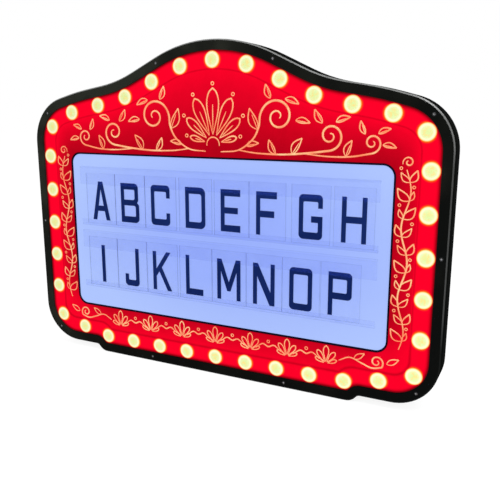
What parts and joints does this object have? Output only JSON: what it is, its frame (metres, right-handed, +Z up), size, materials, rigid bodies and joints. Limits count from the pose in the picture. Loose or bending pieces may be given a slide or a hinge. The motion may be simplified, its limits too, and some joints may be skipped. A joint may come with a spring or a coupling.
{
  "type": "light-up letter board",
  "caption": "Free-standing light-up sign with a crown-shaped top, a ring of round lamps, rows of lift-out letter cards in clear rails, and a battery bay in its back.",
  "frame": {"origin": "middle of the bounding box in X and Y, on the surface that the foot pads stand on", "axes": "+X to the right along the board as its face is seen, +Y from the face to the back, +Z up"},
  "size_m": [0.4274, 0.026, 0.316],
  "materials": {
    "black_plastic": "satin moulded",
    "red_panel": "gloss, translucent, lit from behind",
    "lamp_lens": "frosted",
    "opal_panel": "opal, lit from behind",
    "clear_plastic": "clear",
    "clear_card": "clear, with a printed letter",
    "steel": "plated",
    "white_board": "matt white",
    "light_chip": "clear resin over a yellow phosphor",
    "green_board": "green coating",
    "dark_resin": "matt moulded resin",
    "switch_plastic": "satin",
    "cell_sleeve": "printed sleeve",
    "wire_cover": "soft wire cover",
    "foot_rubber": "matt"
  },
  "bodies": {
    "board": {"front_bezel": "black_plastic", "bezel_screws": "steel", "rear_case": "black_plastic", "red_face_panel": "red_panel", "lamp_lenses": "lamp_lens", "lamp_wall": "black_plastic", "window_wall": "black_plastic", "letter_panel": "opal_panel", "upper_row_top_rail": "clear_plastic", "upper_row_bottom_rail": "clear_plastic", "lower_row_top_rail": "clear_plastic", "lower_row_bottom_rail": "clear_plastic", "lamp_strip": "white_board", "lamp_leds": "light_chip", "reflector_sheet": "white_board", "window_light_bars": "white_board", "window_leds": "light_chip", "control_board": "green_board", "board_screws": "steel", "control_chip": "dark_resin", "remote_receiver": "dark_resin", "power_switch_body": "steel", "mode_switch_body": "dark_resin", "power_socket": "steel", "battery_cells": "cell_sleeve", "battery_positive_contact": "steel", "battery_negative_contact": "steel", "battery_leads": "wire_cover", "light_leads": "wire_cover", "foot_pads": "foot_rubber"},
    "letter_card_01": {"letter_card_01": "clear_card"},
    "letter_card_02": {"letter_card_02": "clear_card"},
    "letter_card_03": {"letter_card_03": "clear_card"},
    "letter_card_04": {"letter_card_04": "clear_card"},
    "letter_card_05": {"letter_card_05": "clear_card"},
    "letter_card_06": {"letter_card_06": "clear_card"},
    "letter_card_07": {"letter_card_07": "clear_card"},
    "letter_card_08": {"letter_card_08": "clear_card"},
    "letter_card_09": {"letter_card_09": "clear_card"},
    "letter_card_10": {"letter_card_10": "clear_card"},
    "letter_card_11": {"letter_card_11": "clear_card"},
    "letter_card_12": {"letter_card_12": "clear_card"},
    "letter_card_13": {"letter_card_13": "clear_card"},
    "letter_card_14": {"letter_card_14": "clear_card"},
    "letter_card_15": {"letter_card_15": "clear_card"},
    "letter_card_16": {"letter_card_16": "clear_card"},
    "power_switch_knob": {"power_switch_slider": "switch_plastic"},
    "mode_button_cap": {"mode_button": "switch_plastic"},
    "battery_bay_cover": {"battery_cover": "black_plastic"}
  },
  "joints": [
    {"name": "letter_card_01_lift", "type": "slide", "parent": "board", "child": "letter_card_01", "axis": [0, 0, 1], "range_m": [0, 0.0044]},
    {"name": "letter_card_02_lift", "type": "slide", "parent": "board", "child": "letter_card_02", "axis": [0, 0, 1], "range_m": [0, 0.0044]},
    {"name": "letter_card_03_lift", "type": "slide", "parent": "board", "child": "letter_card_03", "axis": [0, 0, 1], "range_m": [0, 0.0044]},
    {"name": "letter_card_04_lift", "type": "slide", "parent": "board", "child": "letter_card_04", "axis": [0, 0, 1], "range_m": [0, 0.0044]},
    {"name": "letter_card_05_lift", "type": "slide", "parent": "board", "child": "letter_card_05", "axis": [0, 0, 1], "range_m": [0, 0.0044]},
    {"name": "letter_card_06_lift", "type": "slide", "parent": "board", "child": "letter_card_06", "axis": [0, 0, 1], "range_m": [0, 0.0044]},
    {"name": "letter_card_07_lift", "type": "slide", "parent": "board", "child": "letter_card_07", "axis": [0, 0, 1], "range_m": [0, 0.0044]},
    {"name": "letter_card_08_lift", "type": "slide", "parent": "board", "child": "letter_card_08", "axis": [0, 0, 1], "range_m": [0, 0.0044]},
    {"name": "letter_card_09_lift", "type": "slide", "parent": "board", "child": "letter_card_09", "axis": [0, 0, 1], "range_m": [0, 0.0044]},
    {"name": "letter_card_10_lift", "type": "slide", "parent": "board", "child": "letter_card_10", "axis": [0, 0, 1], "range_m": [0, 0.0044]},
    {"name": "letter_card_11_lift", "type": "slide", "parent": "board", "child": "letter_card_11", "axis": [0, 0, 1], "range_m": [0, 0.0044]},
    {"name": "letter_card_12_lift", "type": "slide", "parent": "board", "child": "letter_card_12", "axis": [0, 0, 1], "range_m": [0, 0.0044]},
    {"name": "letter_card_13_lift", "type": "slide", "parent": "board", "child": "letter_card_13", "axis": [0, 0, 1], "range_m": [0, 0.0044]},
    {"name": "letter_card_14_lift", "type": "slide", "parent": "board", "child": "letter_card_14", "axis": [0, 0, 1], "range_m": [0, 0.0044]},
    {"name": "letter_card_15_lift", "type": "slide", "parent": "board", "child": "letter_card_15", "axis": [0, 0, 1], "range_m": [0, 0.0044]},
    {"name": "letter_card_16_lift", "type": "slide", "parent": "board", "child": "letter_card_16", "axis": [0, 0, 1], "range_m": [0, 0.0044]},
    {"name": "power_switch_slide", "type": "slide", "parent": "board", "child": "power_switch_knob", "axis": [-1, 0, 0], "range_m": [0, 0.002]},
    {"name": "mode_button_press", "type": "slide", "parent": "board", "child": "mode_button_cap", "axis": [0, -1, 0], "range_m": [0, 0.0008], "stiffness_N_per_m": 600},
    {"name": "battery_cover_swing", "type": "hinge", "parent": "board", "child": "battery_bay_cover", "pos_m": [0, 0.013, 0.03015], "axis": [-1, 0, 0], "range_deg": [0, 60]}
  ]
}
